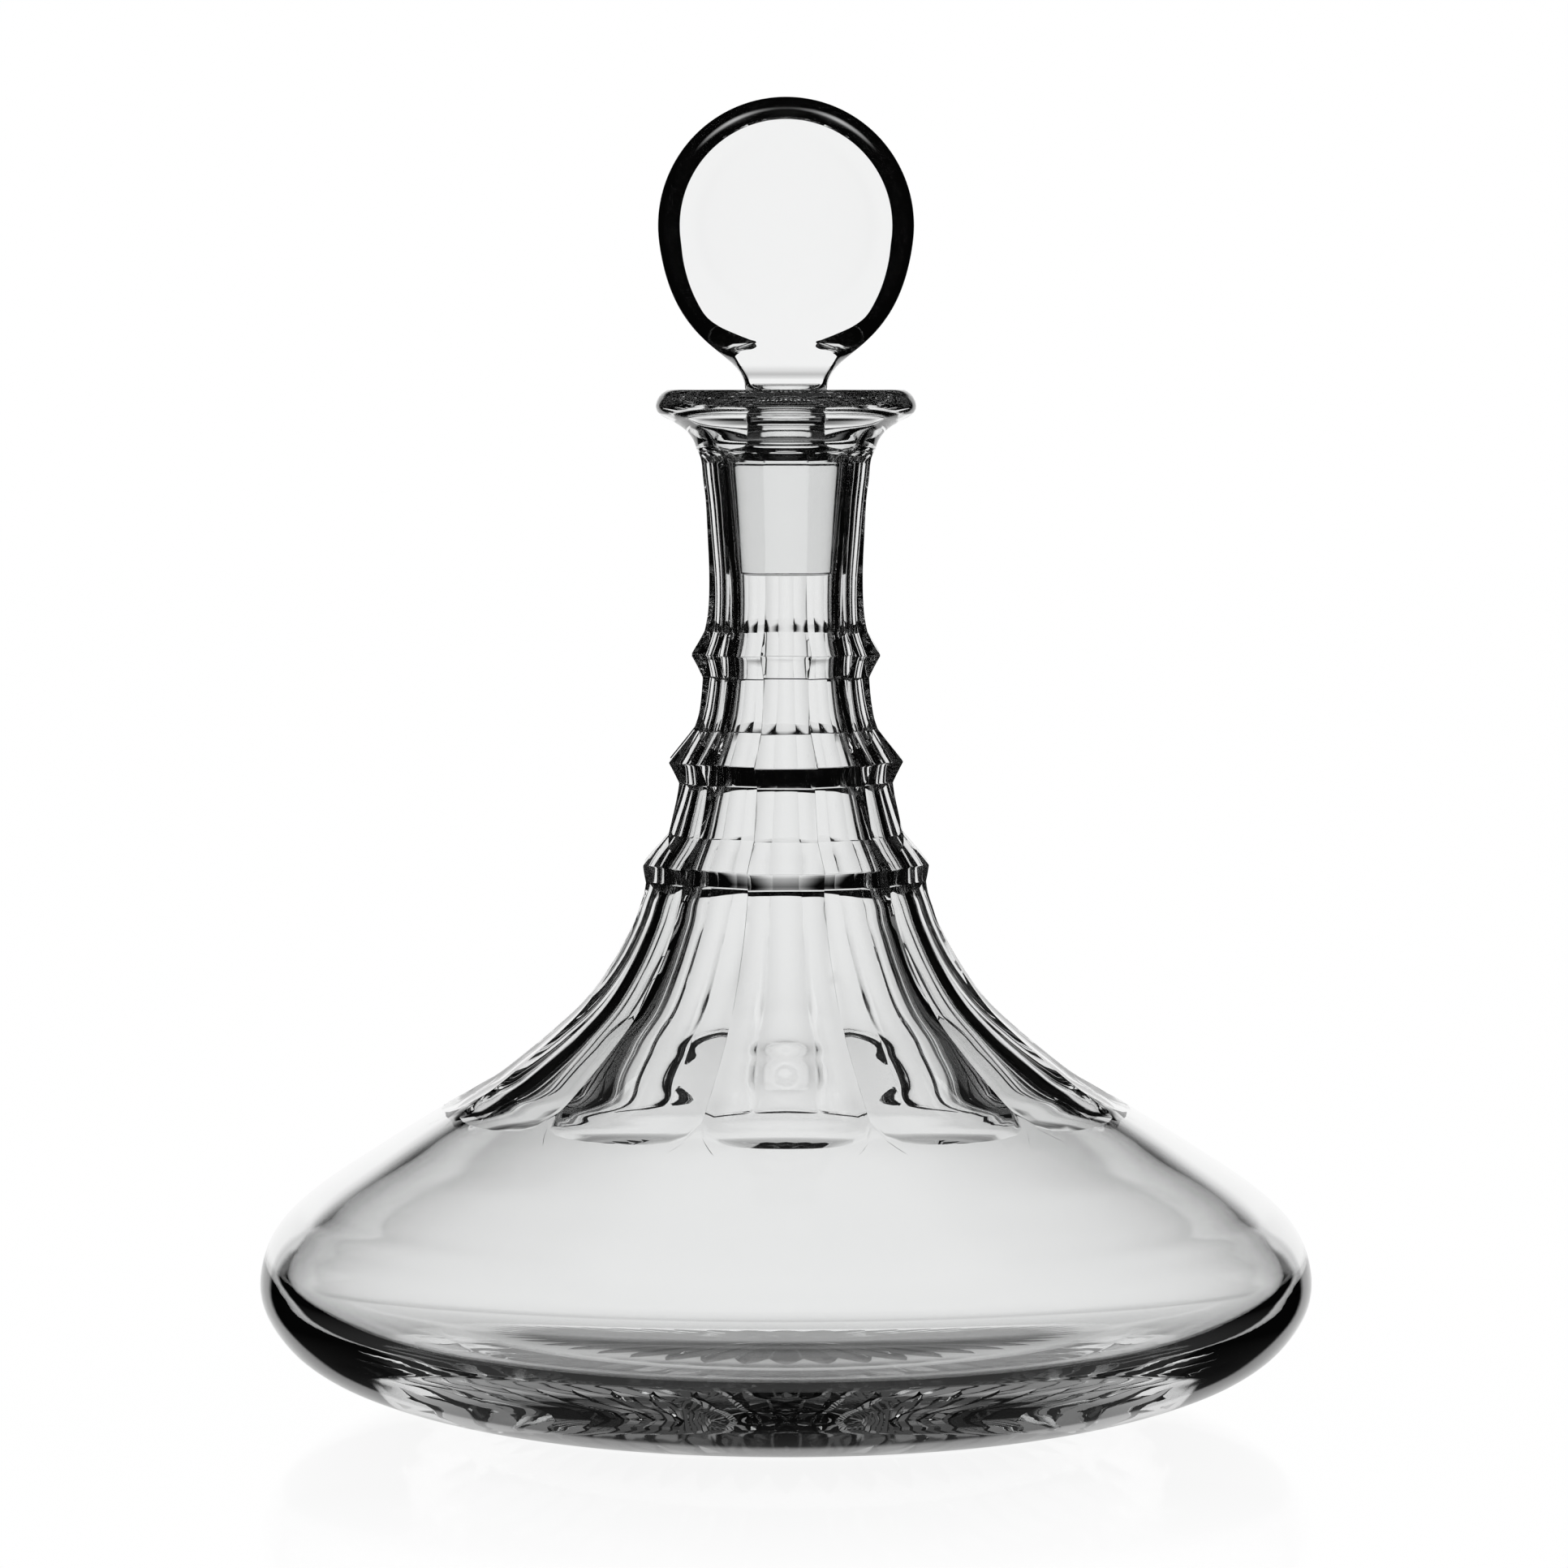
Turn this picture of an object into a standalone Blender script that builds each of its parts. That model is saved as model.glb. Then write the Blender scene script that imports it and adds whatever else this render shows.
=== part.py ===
"""Stoppered wine decanter in clear crystal: a broad, low ship's-decanter body with a panel-cut
neck, three step-cut neck rings, a star-cut base, and a loose disc-headed stopper.

Frame: metres, +Z up, origin at the centre of the foot ring on the table. The stopper's disc
faces -Y and +Y. Every length below is in millimetres and is turned into metres by mm().
"""

import math
from collections import namedtuple

import bmesh
import bpy
import numpy as np

# ---------------------------------------------------------------- body
BODY_MAX_R = 105.0  # widest radius of the belly
BELLY_Z = 24.6  # height of the widest radius
LIP_TOP_Z = 202.4
FOOT_R = 67.0  # outer radius of the ground foot ring
FLOOR_Z = 10.0  # inside floor at the centre
HOLLOW_TOP_Z = 204.0  # top of the hollow's cutter, clear of the lip

SEAT_TOP_Z = 188.4  # upper end of the tapered stopper seat
SEAT_TOP_R = 12.5
SEAT_END_R = 10.3
PLUG_END_Z = 165.7  # lower end of the stopper's plug, and of its seat

PANELS = 12  # flat panels cut round the neck and shoulder
ROUND_STEPS = 72
BORE_STEPS = 48

# The panel envelope stands clear of the blank above and below the cuts.
GUARD_TOP_Z, GUARD_TOP_R = 215.0, 40.0
GUARD_LIP_Z = 193.6  # underside of the upper guard, below the lip
GUARD_BASE_TOP_Z, GUARD_BASE_END_Z, GUARD_BASE_R = 58.0, -10.0, 140.0

# Cut panels: (apothem, height), top to bottom.
PANEL_CUTS = [
    # under the lip
    (24.0, 193.2), (20.6, 191.95), (18.6, 191.2), (17.5, 190.4), (16.75, 188.8),
    # neck
    (16.3, 186.0), (15.95, 181.0), (15.55, 174.0), (15.25, 167.0), (15.3, 161.0),
    (15.6, 157.3), (16.15, 154.5),
    # top ring, and the waist below it
    (17.05, 152.8), (18.0, 151.2), (18.72, 149.95), (17.8, 148.0),
    (16.88, 146.05), (16.72, 143.6), (17.05, 140.2), (17.55, 137.2), (18.25, 134.9),
    # middle ring, and the waist below it
    (19.9, 132.7), (21.6, 130.6), (23.25, 128.55), (22.5, 126.5),
    (21.75, 124.6), (21.66, 122.8), (21.9, 120.4), (22.6, 117.0), (23.6, 113.5),
    # bottom ring
    (25.2, 111.8), (26.8, 110.1), (28.35, 108.15), (28.1, 106.5), (27.78, 104.9),
    # skirt
    (28.2, 102.3), (28.9, 100.2), (30.3, 96.0), (34.4, 88.0), (40.0, 80.0), (46.1, 74.0),
    (53.3, 68.0), (58.6, 63.8),
    # run-out on the shoulder
    (62.0, 61.35), (64.6, 59.95), (66.8, 59.3), (68.8, 59.1), (72.0, 58.95), (80.0, 58.7),
]

# Blown and turned blank: (radius, height), top to bottom.
BLANK = [
    (0.0, LIP_TOP_Z),
    # lip
    (23.3, LIP_TOP_Z), (24.1, 202.05), (24.9, 201.4), (25.55, 200.4), (25.87, 199.1),
    (25.5, 198.0), (24.4, 197.05), (22.8, 196.2), (20.9, 195.1), (19.6, 194.0),
    (18.6, 192.7), (17.9, 191.0),
    # neck
    (18.6, 186.0), (20.5, 154.0), (27.0, 132.0), (32.0, 112.0), (36.0, 92.0),
    # shoulder
    (54.0, 68.2), (60.7, 64.0), (67.5, 59.9), (75.5, 55.0), (83.3, 50.0), (92.4, 44.0),
    (97.2, 40.2), (100.4, 36.9), (103.0, 32.9), (104.4, 28.6),
    # belly
    (BODY_MAX_R, BELLY_Z), (104.6, 21.8), (103.6, 19.0), (101.6, 15.6), (98.2, 11.8),
    (92.8, 8.0), (85.7, 4.7), (78.0, 2.3), (71.5, 0.8), (FOOT_R, 0.0),
    (0.0, 0.0),
]

# Hollow: (radius, height), top to bottom.
HOLLOW = [
    (0.0, HOLLOW_TOP_Z),
    # mouth
    (24.1, HOLLOW_TOP_Z), (22.6, 202.3), (20.8, 200.9), (19.2, 199.3), (17.4, 197.5),
    (15.6, 195.7), (14.2, 194.1), (13.2, 192.2), (12.7, 190.2),
    # stopper seat
    (SEAT_TOP_R, SEAT_TOP_Z), (SEAT_END_R, PLUG_END_Z),
    # neck and shoulder
    (10.05, 162.0), (10.0, 156.0), (10.4, 148.0), (11.5, 138.0), (13.6, 127.0),
    (16.4, 116.0), (19.2, 106.0), (23.2, 94.0), (28.4, 84.6), (36.0, 75.4), (46.0, 66.6),
    (57.5, 59.0), (70.0, 51.2), (80.0, 44.9), (89.0, 39.0), (94.6, 34.6), (97.8, 30.6),
    # belly and floor
    (99.1, 26.6), (98.3, 22.8), (95.4, 19.2), (90.2, 16.4), (82.5, 14.2), (72.0, 12.5),
    (58.0, 11.2), (38.0, 10.4), (18.0, 10.1), (0.0, FLOOR_Z),
]

# ---------------------------------------------------------------- star cut
STAR_R = 59.0  # also the inner radius of the foot ring
STAR_RAYS = 48
STAR_SHALLOW = 0.5  # recess of the ridges above the foot plane, at the rim
STAR_DEEP = 2.2  # recess of the mitres at the rim
STAR_CENTRE = STAR_SHALLOW + 0.2  # recess at the centre
STAR_TOOL_END_Z = -4.0  # underside of the cutter

# ---------------------------------------------------------------- stopper
DISC_Z = 234.9  # centre of the disc
DISC_R = 25.4
FACE_R = 21.1  # flat part of the disc's two faces
DISC_HALF_T = 8.0  # half the thickness of the disc
DISC_END = 0.128  # radians below the horizontal where the disc's edge gives way to the flank
RIM_TILT_DEG = 57.0  # how far the rim leans back where it leaves the flat face
RIM_FIRST = 2.24  # width of the steep first part of the rim
RIM_LAST_DEPTH = 0.2  # depth of the rim curve's last handle, as a share of the half-thickness
DISH_R = 17.7  # the bull's-eye hollowed in each face
DISH_DEPTH = 0.7
DISH_FADE = 6.0  # the hollow steepens over the outer 1/6 of its radius
SEAT_GAP = 0.35  # clearance between the plug and its seat

# The flank, seen face-on, is one Bezier curve from the disc's edge to the top of the stem.
FLANK_END = (8.22, 203.1)  # (x, z)
FLANK_START_PULL = 22.0  # length of the upper handle, along the disc's tangent
FLANK_END_PULL = (0.77, 7.55)  # lower handle, as an (x, z) offset from FLANK_END

# The section turns from flat-faced to round over this drop.
ROUNDING_TOP_Z = 211.5
ROUNDING_DROP = 4.0

DISC_STEPS = 18
FLANK_STEPS = 18
ARC_STEPS = 9
FACE_COLUMNS = 6
SHARP_DEG = 25.0

# The flat face from the disc down the stem, at full thickness: (half-width, height).
FULL_FACE = [
    (20.86, 231.7), (20.4, 228.0), (19.4, 224.0), (18.0, 220.5), (15.9, 217.0),
    (13.4, 215.0), (10.0, 213.4), (7.2, 212.3), (5.8, 211.8),
]
# All of that face: (half-width, height, half-thickness), top to bottom.
STEM_FACE = [(half_width, z, DISC_HALF_T) for half_width, z in FULL_FACE] + [
    (6.6, 211.2, 7.95), (9.4, 210.4, 7.85), (10.2, 209.6, 7.75), (9.5, 208.0, 7.5),
    (8.2, 206.0, 7.1), (7.4, 204.6, 6.8), (7.0, 203.6, 6.7), (6.3, 203.0, 6.8),
    (4.9, 202.6, 7.1), (2.8, 202.3, 7.5), (0.0, 202.1, 7.9),
]
# Edge x beside the last rows of STEM_FACE, which lie below the flank.
TIP_EDGE_X = [8.2, 8.2, 8.0, 8.0]
# Round waist between the face and the plug: (radius, height).
WAIST = [(7.9, 200.0), (7.8, 196.5), (7.9, 193.8), (8.6, 192.0), (10.0, 190.4), (11.3, 189.4)]

# One section of the stopper: its right-hand edge, the side of its flat face, the
# half-thickness there, and a roundness from 0 (disc rim) to 1 (round stem).
Station = namedtuple("Station", "edge_x edge_z face_x face_z half_t roundness")


def mm(value):
    return value / 1000.0


def clear_scene():
    for obj in list(bpy.data.objects):
        bpy.data.objects.remove(obj)


def collection(name):
    made = bpy.data.collections.new(name)
    bpy.context.scene.collection.children.link(made)
    return made


def new_object(name, mesh, home):
    obj = bpy.data.objects.new(name, mesh)
    home.objects.link(obj)
    return obj


def mesh_from(bm, name):
    mesh = bpy.data.meshes.new(name)
    bm.to_mesh(mesh)
    bm.free()
    return mesh


def crystal(name, roughness):
    material = bpy.data.materials.new(name)
    material.use_nodes = True
    shader = material.node_tree.nodes["Principled BSDF"]
    settings = {
        "Base Color": (0.96, 0.97, 0.97, 1.0),
        "Roughness": roughness,
        "Metallic": 0.0,
        "IOR": 1.54,
        "Transmission Weight": 1.0,
    }
    for socket, value in settings.items():
        shader.inputs[socket].default_value = value
    return material


# ---------------------------------------------------------------- body
def turned(name, outline, steps, home, turn_deg=0.0):
    """Solid of revolution about Z; the outline runs from the axis, down the outside, and back."""
    mesh = bpy.data.meshes.new(name)
    points = [(mm(radius), 0.0, mm(z)) for radius, z in outline]
    mesh.from_pydata(points, [(i, i + 1) for i in range(len(points) - 1)], [])
    obj = new_object(name, mesh, home)
    obj.rotation_euler.z = math.radians(turn_deg)
    screw = obj.modifiers.new("turn", "SCREW")
    screw.axis = "Z"
    screw.angle = math.tau
    screw.steps = steps
    screw.render_steps = steps
    screw.use_merge_vertices = True
    screw.merge_threshold = 0.00001
    screw.use_smooth_shade = False
    return obj


def combine(obj, tool, operation):
    tool.hide_render = True
    tool.display_type = "WIRE"
    boolean = obj.modifiers.new(operation.lower() + "_" + tool.name, "BOOLEAN")
    boolean.operation = operation
    boolean.object = tool
    boolean.solver = "EXACT"


def panel_envelope(home):
    """Twelve-sided solid that the blank is trimmed to, with flats facing the X and Y axes."""
    apothem_to_corner = 1.0 / math.cos(math.pi / PANELS)
    outline = [(0.0, GUARD_TOP_Z), (GUARD_TOP_R, GUARD_TOP_Z), (GUARD_TOP_R, GUARD_LIP_Z)]
    outline += [(apothem * apothem_to_corner, z) for apothem, z in PANEL_CUTS]
    outline += [(GUARD_BASE_R, GUARD_BASE_TOP_Z), (GUARD_BASE_R, GUARD_BASE_END_Z)]
    outline += [(0.0, GUARD_BASE_END_Z)]
    return turned("panel_envelope", outline, PANELS, home, turn_deg=180.0 / PANELS)


def star_cutter(home):
    """A pleated cone: its rim alternates between the star's ridges and its mitres."""
    bm = bmesh.new()
    # Every height is reset below, so the depth only tells the top from the bottom.
    bmesh.ops.create_cone(
        bm, cap_ends=True, cap_tris=True, segments=2 * STAR_RAYS,
        radius1=mm(STAR_R), radius2=mm(STAR_R), depth=mm(10.0),
    )
    for vertex in bm.verts:
        if vertex.co.z < 0.0:
            height = STAR_TOOL_END_Z
        elif vertex.co.xy.length < mm(1.0):
            height = STAR_CENTRE
        else:
            ray = round(math.atan2(vertex.co.y, vertex.co.x) / (math.pi / STAR_RAYS))
            height = STAR_DEEP if ray % 2 == 0 else STAR_SHALLOW
        vertex.co.z = mm(height)
    return new_object("star_cutter", mesh_from(bm, "star_cutter"), home)


def decanter_body(home, tools, material):
    panels = panel_envelope(tools)
    body = turned("decanter_body", BLANK, ROUND_STEPS, home)
    body.data.materials.append(material)
    hollow = turned("hollow_cutter", HOLLOW, BORE_STEPS, tools)
    star = star_cutter(tools)
    combine(body, panels, "INTERSECT")
    combine(body, hollow, "DIFFERENCE")
    combine(body, star, "DIFFERENCE")


# ---------------------------------------------------------------- stopper
def bezier(share, points):
    """Point on a cubic Bezier curve with the given four control points."""
    rest = 1 - share
    weights = (rest**3, 3 * share * rest**2, 3 * share * share * rest, share**3)
    return [sum(w * value for w, value in zip(weights, axis)) for axis in zip(*points)]


def disc_stations():
    stations = []
    for k in range(DISC_STEPS + 1):
        angle = math.pi / 2 - (math.pi / 2 + DISC_END) * k / DISC_STEPS
        # The first station must lie exactly on the axis.
        across = 0.0 if k == 0 else math.cos(angle)
        up = math.sin(angle)
        stations.append(Station(
            DISC_R * across, DISC_Z + DISC_R * up,
            FACE_R * across, DISC_Z + FACE_R * up, DISC_HALF_T, 0.0,
        ))
    return stations


def flank_stations(start):
    """Stations from the disc's last one down to the end of the flank."""
    end_x, end_z = FLANK_END
    controls = (
        (start.edge_x, start.edge_z),
        (start.edge_x - FLANK_START_PULL * math.sin(DISC_END),
         start.edge_z - FLANK_START_PULL * math.cos(DISC_END)),
        (end_x + FLANK_END_PULL[0], end_z + FLANK_END_PULL[1]),
        FLANK_END,
    )
    face_end_z = STEM_FACE[-len(TIP_EDGE_X) - 1][1]
    face_per_edge = (start.face_z - face_end_z) / (start.edge_z - end_z)
    half_widths, heights, half_ts = zip(*reversed(STEM_FACE))
    stations = []
    for k in range(1, FLANK_STEPS + 1):
        x, z = bezier(k / FLANK_STEPS, controls)
        level = start.face_z + (z - start.edge_z) * face_per_edge
        roundness = min(1.0, max(0.0, (ROUNDING_TOP_Z - level) / ROUNDING_DROP))
        stations.append(Station(
            x, z, np.interp(level, heights, half_widths), level,
            np.interp(level, heights, half_ts), roundness,
        ))
    return stations


def stem_stations():
    """Stations for the tip of the flat face, the round waist and the plug."""
    tip = STEM_FACE[-len(TIP_EDGE_X):]
    stations = [
        Station(edge_x, z, face_x, z, half_t, 1.0)
        for edge_x, (face_x, z, half_t) in zip(TIP_EDGE_X, tip)
    ]
    top_r = SEAT_TOP_R - SEAT_GAP
    end_r = SEAT_END_R - SEAT_GAP
    # The plug tapers with its seat; both its ends are eased by a few tenths.
    plug = [
        (top_r - 0.3, SEAT_TOP_Z + 0.35), (top_r, SEAT_TOP_Z - 0.2),
        (end_r, PLUG_END_Z + 0.4), (end_r - 0.15, PLUG_END_Z + 0.1), (end_r - 0.45, PLUG_END_Z),
    ]
    return stations + [Station(radius, z, 0.0, z, radius, 1.0) for radius, z in WAIST + plug]


def edge_arc(station):
    """Points from the flat face round to the edge, in the front right-hand quarter."""
    edge_x, edge_z, face_x, face_z, half_t, roundness = station
    span = max(DISC_R - FACE_R, edge_x - face_x)
    first_depth = 1.0 - RIM_FIRST * math.tan(math.radians(RIM_TILT_DEG)) / half_t
    # Control points: (reach towards the edge, depth from mid-plane), as shares of the whole.
    rim = ((0.0, 1.0), (RIM_FIRST / span, first_depth), (1.0, RIM_LAST_DEPTH), (1.0, 0.0))
    points = []
    for k in range(ARC_STEPS + 1):
        rim_reach, rim_depth = bezier(k / ARC_STEPS, rim)
        angle = k / ARC_STEPS * math.pi / 2
        reach = (1 - roundness) * rim_reach + roundness * math.sin(angle)
        depth = half_t * ((1 - roundness) * rim_depth + roundness * math.cos(angle))
        # The last point must lie exactly on the mirror plane.
        if k == ARC_STEPS:
            reach, depth = 1.0, 0.0
        x = face_x + (edge_x - face_x) * reach
        z = face_z + (edge_z - face_z) * reach
        points.append((x, -depth, z))
    return points


def dish(x, z):
    """How far the bull's-eye is hollowed below the flat of the face."""
    share = math.hypot(x, z - DISC_Z) / DISH_R
    if share >= 1.0:
        return 0.0
    return DISH_DEPTH * (1.0 - share * share) * min(1.0, DISH_FADE * (1.0 - share)) ** 0.5


def bridge(bm, upper, lower):
    """Join two rows of vertices; a row of one vertex gets a fan of triangles."""
    count = max(len(upper), len(lower))
    upper = upper * count if len(upper) == 1 else upper
    lower = lower * count if len(lower) == 1 else lower
    for corners in zip(upper, lower, lower[1:], upper[1:]):
        distinct = list(dict.fromkeys(corners))
        if len(distinct) > 2:
            bm.faces.new(distinct)


def stopper_quarter():
    """Front right-hand quarter of the stopper, lofted from the disc's section to the plug."""
    stations = disc_stations()
    stations += flank_stations(stations[-1])
    stations += stem_stations()
    bm = bmesh.new()

    def vertex(x, y, z):
        return bm.verts.new((mm(x), mm(y), mm(z)))

    arcs, faces = [], []
    for station in stations:
        arc = [vertex(*point) for point in edge_arc(station)]
        row = []
        if station.face_x > 0.0:
            z = station.face_z
            for k in range(FACE_COLUMNS):
                x = station.face_x * k / FACE_COLUMNS
                row.append(vertex(x, dish(x, z) - station.half_t, z))
        arcs.append(arc)
        faces.append(row + [arc[0]])
    for rows in (arcs, faces):
        for upper, lower in zip(rows, rows[1:]):
            bridge(bm, upper, lower)
    bridge(bm, arcs[-1], [vertex(0.0, 0.0, PLUG_END_Z)])
    bmesh.ops.recalc_face_normals(bm, faces=bm.faces)
    return mesh_from(bm, "stopper")


def stopper(home, material):
    mesh = stopper_quarter()
    obj = new_object("stopper", mesh, home)
    mesh.materials.append(material)
    mirror = obj.modifiers.new("halves", "MIRROR")
    mirror.use_axis = (True, True, False)
    mirror.use_clip = True
    mirror.use_mirror_merge = True
    mirror.merge_threshold = 0.000005
    mesh.shade_smooth()
    mesh.set_sharp_from_angle(angle=math.radians(SHARP_DEG))


def main():
    clear_scene()
    parts = collection("wine_decanter")
    tools = collection("wine_decanter_cutters")
    decanter_body(parts, tools, crystal("crystal_body", roughness=0.0))
    stopper(parts, crystal("crystal_stopper", roughness=0.02))


main()
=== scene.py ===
"""A cut crystal decanter with twelve panels and a flat disc stopper.

It stands on z = 0 around the z axis, and the camera looks at it from -y. One panel and the stopper's
flat face are turned to -y. Pieces are worked out in millimetres and built in metres.
"""
import functools
import math

import bmesh
import bpy
import numpy as np
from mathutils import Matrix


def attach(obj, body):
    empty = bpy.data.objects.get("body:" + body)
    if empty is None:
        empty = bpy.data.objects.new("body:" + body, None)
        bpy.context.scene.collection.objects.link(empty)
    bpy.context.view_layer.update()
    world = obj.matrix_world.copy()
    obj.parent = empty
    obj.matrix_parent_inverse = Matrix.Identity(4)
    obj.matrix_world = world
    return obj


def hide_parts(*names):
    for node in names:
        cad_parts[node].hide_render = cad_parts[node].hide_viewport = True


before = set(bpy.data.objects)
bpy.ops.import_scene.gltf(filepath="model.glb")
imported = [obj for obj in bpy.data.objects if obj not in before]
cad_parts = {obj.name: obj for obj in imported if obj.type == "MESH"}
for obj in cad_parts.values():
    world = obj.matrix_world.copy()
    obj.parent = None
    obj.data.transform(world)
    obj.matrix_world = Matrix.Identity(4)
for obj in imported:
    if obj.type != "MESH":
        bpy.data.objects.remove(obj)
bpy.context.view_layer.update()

# ---------------------------------------------------------------- shared sizes
MM_PER_M = 1000.0
WELD = 0.000002  # metres
SHARP_ANGLE = math.radians(17.0)

# ---------------------------------------------------------------- body sizes, in millimetres
PANELS = 12
PER_PANEL = 16  # mesh columns across one panel
COLUMNS = PANELS * PER_PANEL
HALF_PANEL = math.pi / PANELS  # half the angle one panel takes up
EVEN_ANGLES = (np.arange(COLUMNS) - PER_PANEL / 2) * math.tau / COLUMNS - math.pi / 2
EDGE_ROUND = 0.18  # polished edge between two cut panels
CORNER_COLUMNS = 3  # columns each side of a panel that turn the corner

# Outlines run from the top down. The panels' are (apothem, height): each piece is smooth,
# and two pieces meet in a crisp cut corner.
PANEL_NECK = [
    (24.0, 192.4), (20.6, 191.75), (18.7, 191.1), (17.6, 190.3), (17.0, 189.2), (16.7, 187.8),
    (16.45, 185.0), (15.95, 181.0), (15.55, 174.0), (15.25, 167.0), (15.3, 161.0), (15.6, 157.3),
    (16.15, 154.5),
]
RING_1_UPPER = [(16.15, 154.5), (17.05, 152.8), (18.0, 151.2), (18.72, 149.95)]
RING_1_LOWER = [(18.72, 149.95), (17.75, 148.2), (16.88, 146.4), (16.5, 145.5)]
PANEL_WAIST_1 = [
    (16.5, 145.5), (16.62, 143.8), (16.82, 141.6), (17.08, 139.4), (17.5, 137.1), (18.2, 134.9),
]
RING_2_UPPER = [(18.2, 134.9), (19.9, 132.7), (21.6, 130.6), (23.25, 128.55)]
RING_2_LOWER = [(23.25, 128.55), (22.5, 127.1), (21.75, 125.6), (21.2, 124.4)]
PANEL_WAIST_2 = [(21.2, 124.4), (21.45, 122.6), (21.8, 120.8), (22.6, 117.2), (23.35, 114.0)]
RING_3_UPPER = [(23.35, 114.0), (25.0, 112.1), (26.7, 110.2), (28.35, 108.15)]
RING_3_LOWER = [(28.35, 108.15), (28.1, 106.5), (27.78, 104.9)]
PANEL_SKIRT = [
    (27.78, 104.9), (28.2, 102.3), (28.9, 100.2), (30.3, 96.0), (34.4, 88.0), (40.0, 80.0),
    (46.1, 74.0), (53.0, 68.0), (58.1, 64.0), (61.7, 62.0), (63.4, 61.0), (65.0, 60.3),
    (66.7, 59.7), (68.2, 59.35), (69.6, 59.1), (74.0, 58.9), (80.0, 58.7),
]
PANEL_PIECES = [
    PANEL_NECK, RING_1_UPPER, RING_1_LOWER, PANEL_WAIST_1, RING_2_UPPER,
    RING_2_LOWER, PANEL_WAIST_2, RING_3_UPPER, RING_3_LOWER, PANEL_SKIRT,
]
PANEL_SPACING = 0.85
PANEL_FILLET = 0.18

# The round blank the panels are cut into, (radius, height)
BLANK_LIP = [
    (22.6, 202.3), (23.3, 202.38), (24.1, 202.05), (24.9, 201.4), (25.55, 200.4), (25.87, 199.1),
    (25.5, 198.0), (24.4, 197.05), (22.8, 196.2), (20.9, 195.1), (19.6, 194.0), (18.6, 192.7),
    (17.9, 191.0), (17.4, 187.5),
]
BLANK_SHOULDER = [
    (45.0, 82.0), (56.6, 68.4), (61.9, 63.4), (67.5, 59.9), (75.5, 55.0), (83.3, 50.0),
    (92.4, 44.0), (97.2, 40.2), (100.6, 36.8), (103.1, 32.9), (104.5, 28.8), (105.0, 24.8),
    (104.6, 21.6), (103.6, 18.9), (101.6, 15.6), (98.2, 11.8), (92.8, 8.0), (85.7, 4.8),
    (78.0, 2.35), (71.5, 0.8), (67.4, 0.08),
]

# The inside, (radius, height)
HOLLOW_MOUTH = [
    (22.6, 202.3), (22.0, 201.95), (20.8, 200.9), (19.2, 199.3), (17.4, 197.5), (15.9, 195.8),
    (15.0, 194.2), (14.6, 192.6), (14.2, 191.2), (13.6, 190.1), (12.9, 189.1), (12.5, 188.4),
]
HOLLOW_SEAT = [(12.5, 188.4), (12.45, 187.8), (10.35, 166.2), (10.2, 164.8)]
HOLLOW_NECK = [
    (10.2, 164.8), (10.05, 162.0), (10.0, 156.0), (10.45, 148.0), (11.6, 139.5), (13.3, 132.5),
    (14.8, 126.5), (16.6, 119.8), (19.5, 111.0), (21.8, 104.5), (25.0, 95.0), (29.4, 85.2),
    (36.5, 75.5), (46.0, 66.6), (57.5, 59.0), (70.0, 51.2), (80.0, 44.9), (89.0, 39.0),
    (94.6, 34.6), (97.8, 30.6), (99.1, 26.6), (98.3, 22.8), (95.4, 19.2), (90.2, 16.4),
    (82.5, 14.2), (72.0, 12.5), (58.0, 11.2), (38.0, 10.4), (18.0, 10.1), (1.0, 10.0),
]

# Star cut into the base
STAR_RAYS = 48
STAR_CENTRE_DEPTH = 1.35
STAR_EXTRA_DEPTH = 0.85  # added on the way out to the deepest radius
STAR_DEEPEST_R = 50.0
STAR_FADE = 0.0165  # how fast a ray shallows past that radius
STAR_SIDE_SLOPE = 0.62
FOOT_R = 66.6  # outer radius of the flat ring around the star

# Heights at which the rows of the body change kind
BELLY_TOP = 54.0  # rows are level up to here, then climb to the panels' lower ends
SCOOP_TOP = 68.5  # rows are level again above the panels' lower ends
NECK_TOP = 187.6  # rows start to climb to the panels' upper ends
LOWER_END_SEARCH = (66.5, 56.5)  # heights where the panel lies inside and outside the blank
UPPER_END_SEARCH = (188.2, 192.9)
LIP_UNDERSIDE = 199.0

# ---------------------------------------------------------------- stopper sizes, in millimetres
DISC_Z = 234.9
DISC_R = 25.4
FACE_R = 21.1
DISC_HALF_T = 8.0
DISC_END = 0.128  # angle below the disc's centre line where the flank takes over, in radians
DISH_R = 17.7
DISH_DEPTH = 0.7
DISH_REACH = 1.08  # outer end of the dish's soft edge, as a share of DISH_R
DISH_SOFT = 0.15
RIM_TILT = 60.0  # how far the rim leans back where it leaves the flat face, in degrees
RIM_FIRST = 1.6  # width of the steep first part of the rim
RIM_LAST_DEPTH = 0.13  # depth of the rim curve's last handle, as a share of the half thickness

# Edge of the flat face below the disc: (half width, height, half thickness)
STEM_FACE = [
    (20.86, 231.7, 8.0), (20.4, 228.0, 8.0), (19.4, 224.0, 8.0), (18.0, 220.5, 8.0),
    (15.9, 217.0, 8.0), (13.4, 215.0, 8.0), (10.0, 213.4, 8.0), (7.2, 212.3, 8.0),
    (5.8, 211.8, 8.0), (6.6, 211.2, 7.95), (9.4, 210.4, 7.85), (10.2, 209.6, 7.75),
    (9.5, 208.0, 7.5), (8.2, 206.0, 7.1), (7.4, 204.6, 6.8), (7.0, 203.6, 6.7),
    (6.3, 203.0, 6.8), (4.9, 202.6, 7.1), (2.8, 202.3, 7.5), (0.0, 202.1, 7.9),
]
FLANK_FOOT = (8.22, 203.1)  # half width, height
FLANK_TOP_HANDLE = 22.0
FLANK_FOOT_HANDLE = (0.77, 7.55)
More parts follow.
